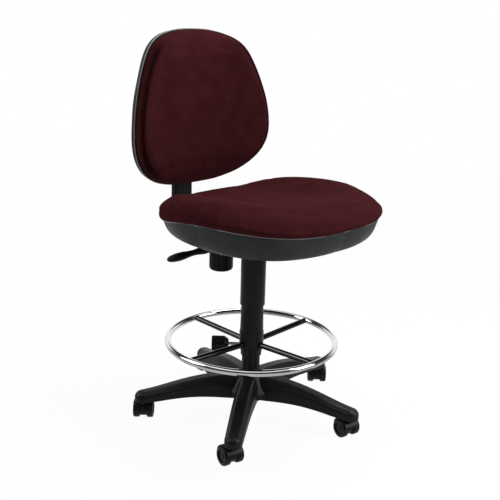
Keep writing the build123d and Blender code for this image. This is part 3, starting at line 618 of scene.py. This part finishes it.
def beside(tree, vector):
    """How far a vector leaves the line from the camera to the backdrop, to either side."""
    node = add_node(tree, "Math", operation="ABSOLUTE")
    tree.links.new(along(tree, vector, ASIDE), node.inputs[0])
    return node.outputs["Value"]


def straight_rays(tree, rays):
    """1 for a ray that the camera sees straight or through something clear, and 0 for the rest."""
    return combine(tree, "MAXIMUM", rays.outputs["Is Camera Ray"], rays.outputs["Is Transmission Ray"])


# Materials

def new_material(name, **sockets):
    material = bpy.data.materials.new(name)
    material.use_nodes = True
    shader = material.node_tree.nodes["Principled BSDF"]
    for socket, value in sockets.items():
        shader.inputs[socket.replace("_", " ")].default_value = value
    return material, material.node_tree, shader


def fabric(name, dark, light):
    """Short-pile cloth. The mesh's shade attribute paints shade into the colour where the cover turns over an
    edge.
    """
    material, tree, shader = new_material(
        name, Roughness=0.95, Sheen_Weight=0.012, Sheen_Roughness=0.4, Sheen_Tint=SHEEN_TINT,
        Specular_IOR_Level=0.02)
    pile = noise(tree, scale=420, detail=3.0)
    blotch = noise(tree, scale=26, detail=5.0)
    half = add_node(tree, "Math", operation="MULTIPLY")
    half.inputs[1].default_value = 0.5
    tree.links.new(combine(tree, "ADD", pile, blotch), half.inputs[0])
    cloth = ramp(tree, half.outputs["Value"], dark, light, low=0.36, high=0.64)
    # Painted shade: the shade attribute mixes the cloth's colour towards a dark tone
    edge = add_node(tree, "Attribute", attribute_name="shade")
    shaded = add_node(tree, "Mix", data_type="RGBA", blend_type="MIX")
    shaded.inputs["B"].default_value = (*(PAINTED_SHADE_TONE * value for value in dark), 1)
    tree.links.new(edge.outputs["Fac"], shaded.inputs["Factor"])
    tree.links.new(cloth, shaded.inputs["A"])
    tree.links.new(shaded.outputs["Result"], shader.inputs["Base Color"])
    weave = combine(tree, "MULTIPLY", bands(tree, "X", scale=230), bands(tree, "DIAGONAL", scale=230))
    surface = combine(tree, "ADD", weave, pile)
    tree.links.new(bump(tree, surface, distance=0.0005, strength=0.5), shader.inputs["Normal"])
    return material


def dress(tree, shader, cloud, dark, light, rough_low, rough_high):
    """Lets one cloudy noise vary both the tone and the roughness."""
    tree.links.new(ramp(tree, cloud, dark, light), shader.inputs["Base Color"])
    tree.links.new(spread(tree, cloud, rough_low, rough_high), shader.inputs["Roughness"])


def moulded(name, look, grain=900, depth=0.00012):
    """Plastic or paint with a fine grain."""
    material, tree, shader = new_material(name, Specular_IOR_Level=0.22)
    dress(tree, shader, noise(tree, scale=18, detail=5.0), *look)
    fine = noise(tree, scale=grain, detail=2.0)
    tree.links.new(bump(tree, fine, distance=depth, strength=0.6), shader.inputs["Normal"])
    return material


def metal(name, look):
    material, tree, shader = new_material(name, Metallic=1.0)
    dress(tree, shader, noise(tree, scale=35, detail=4.0), *look)
    fine = noise(tree, scale=700, detail=2.0)
    tree.links.new(bump(tree, fine, distance=0.00003, strength=0.3), shader.inputs["Normal"])
    return material


def plywood(name, dark, light):
    material, tree, shader = new_material(name, Roughness=0.65)
    grain = bands(tree, "X", scale=14, distortion=6.0)
    tree.links.new(ramp(tree, grain, dark, light, low=0.1, high=0.9), shader.inputs["Base Color"])
    tree.links.new(bump(tree, grain, distance=0.0002, strength=0.4), shader.inputs["Normal"])
    return material


def make_materials():
    made = {
        "burgundy_fabric": fabric("burgundy_fabric", *BURGUNDY),
        "black_paint": moulded("black_paint", BLACK_PAINT, grain=1400, depth=0.00006),
        "plywood": plywood("plywood", *PLYWOOD),
    }
    for name, look in PLASTICS.items():
        made[name] = moulded(name, look)
    for name, look in METALS.items():
        made[name] = metal(name, look)
    return made


def set_material(piece, material):
    piece.data.materials.clear()
    piece.data.materials.append(material)


# Stage

def area_lamp(name, place, target, size, power):
    lamp = bpy.data.lights.new(name, "AREA")
    lamp.shape = "RECTANGLE"
    lamp.size, lamp.size_y = size
    lamp.energy = power
    holder = new_object(name, lamp)
    holder.location = place
    direction = Vector(target) - holder.location
    holder.rotation_euler = direction.to_track_quat("-Z", "Y").to_euler()


def studio_seen(tree):
    """What shiny things mirror of the room: a white paper backdrop and ceiling, and dim elsewhere."""
    direction = add_node(tree, "TexCoord").outputs["Generated"]
    split = add_node(tree, "SeparateXYZ")
    tree.links.new(direction, split.inputs[0])
    height = split.outputs["Z"]
    ahead = ramp(tree, along(tree, direction, AWAY), DIM, WHITE, *BACKDROP_AHEAD)
    aside = ramp(tree, beside(tree, direction), WHITE, DIM, *BACKDROP_ASIDE)
    top_edge = ramp(tree, height, WHITE, DIM, *BACKDROP_TOP)
    ceiling = ramp(tree, height, DIM, WHITE, *CEILING_EDGE)
    backdrop = mixed(tree, "MULTIPLY", mixed(tree, "MULTIPLY", ahead, aside), top_edge)
    return mixed(tree, "LIGHTEN", backdrop, ceiling)


def make_world():
    """Soft light from all round, a studio for shiny things to mirror, and white for the camera."""
    world = bpy.data.worlds.new("studio")
    bpy.context.scene.world = world
    world.use_nodes = True
    tree = world.node_tree
    tree.nodes.clear()
    rays = add_node(tree, "LightPath")
    light = add_node(tree, "Background", Color=(0.95, 0.97, 1.0, 1), Strength=WORLD_LIGHT)
    mirrored = add_node(tree, "Background", Strength=1.0)
    white = add_node(tree, "Background", Color=(*WHITE, 1), Strength=1.0)
    output = add_node(tree, "OutputWorld")
    tree.links.new(studio_seen(tree), mirrored.inputs["Color"])
    shiny = mix_shaders(
        tree, rays.outputs["Is Glossy Ray"], light.outputs["Background"], mirrored.outputs["Background"])
    seen = mix_shaders(tree, straight_rays(tree, rays), shiny, white.outputs["Background"])
    tree.links.new(seen, output.inputs["Surface"])


def make_floor(reach):
    """White floor with a faint shadow near the object. Shiny things mirror paper far off and grey nearby."""
    mesh = bpy.data.meshes.new("floor")
    corners = [(-reach, -reach, 0), (reach, -reach, 0), (reach, reach, 0), (-reach, reach, 0)]
    mesh.from_pydata(corners, [], [(0, 1, 2, 3)])
    floor = new_object("floor", mesh)
    material = bpy.data.materials.new("floor_white")
    material.use_nodes = True
    tree = material.node_tree
    tree.nodes.clear()
    place = place_node(tree)
    rays = add_node(tree, "LightPath")
    distance = add_node(tree, "VectorMath", operation="LENGTH")
    tree.links.new(place, distance.inputs[0])
    near, far = SHADOW_FADE
    share = add_node(tree, "MapRange", From_Min=near, From_Max=far, To_Min=FLOOR_WHITE_NEAR, To_Max=1.0)
    tree.links.new(distance.outputs["Value"], share.inputs["Value"])
    white_share = combine(tree, "MULTIPLY", straight_rays(tree, rays), share.outputs["Result"])
    behind = ramp(tree, along(tree, place, AWAY), FLOOR_GREY, WHITE, *PAPER_AHEAD)
    paper = mixed(tree, "MULTIPLY", behind, ramp(tree, beside(tree, place), WHITE, FLOOR_GREY, *PAPER_ASIDE))
    matte = add_node(tree, "BsdfDiffuse", Color=(0.93, 0.93, 0.93, 1))
    mirrored = add_node(tree, "Emission", Strength=1.0)
    glow = add_node(tree, "Emission", Color=(*WHITE, 1), Strength=1.0)
    output = add_node(tree, "OutputMaterial")
    tree.links.new(paper, mirrored.inputs["Color"])
    shiny = mix_shaders(
        tree, rays.outputs["Is Glossy Ray"], matte.outputs["BSDF"], mirrored.outputs["Emission"])
    seen = mix_shaders(tree, white_share, shiny, glow.outputs["Emission"])
    tree.links.new(seen, output.inputs["Surface"])
    mesh.materials.append(material)


def make_camera():
    camera = bpy.data.cameras.new("camera")
    camera.sensor_width = SENSOR_WIDTH
    camera.lens = SENSOR_WIDTH * CAMERA_FOCAL_SHARE
    holder = new_object("camera", camera)
    aimed = Euler((math.pi / 2 - CAMERA_PITCH, 0, CAMERA_TURN)).to_matrix()
    rolled = aimed @ Matrix.Rotation(CAMERA_ROLL, 3, "Z")
    holder.matrix_world = Matrix.Translation(CAMERA_PLACE) @ rolled.to_4x4()
    bpy.context.scene.camera = holder


def make_stage():
    bpy.context.scene.view_settings.view_transform = "Standard"
    make_camera()
    make_floor(FLOOR_REACH)
    make_world()
    for lamp in LAMPS:
        area_lamp(*lamp)


# Assembly

materials = make_materials()
for subpart in frame["record"]["subparts"]:
    set_material(frame["nodes"][subpart["node"]], materials[subpart["material_slot"]])
# The spokes look far darker than the ring's tube in the photograph
set_material(frame["nodes"]["ring_spokes"], materials["dark_chrome"])

seat_cushion = make_seat_cushion()
back_cushion = make_back_cushion()
for cushion, node, body, fill in (
    (seat_cushion, "seat_cushion", "seat", 0.8),
    (back_cushion, "back_cushion", "backrest", 0.75),
):
    set_material(cushion, materials["burgundy_fabric"])
    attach(cushion, body)
    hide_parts(node)

# The beads are real rolled lips, coloured pale grey as a painted highlight along the shells' edges
for bead, body in ((make_seat_rim_bead(), "seat"), (make_back_rim_bead(), "backrest")):
    set_material(bead, materials["painted_highlight_grey"])
    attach(bead, body)

make_stage()
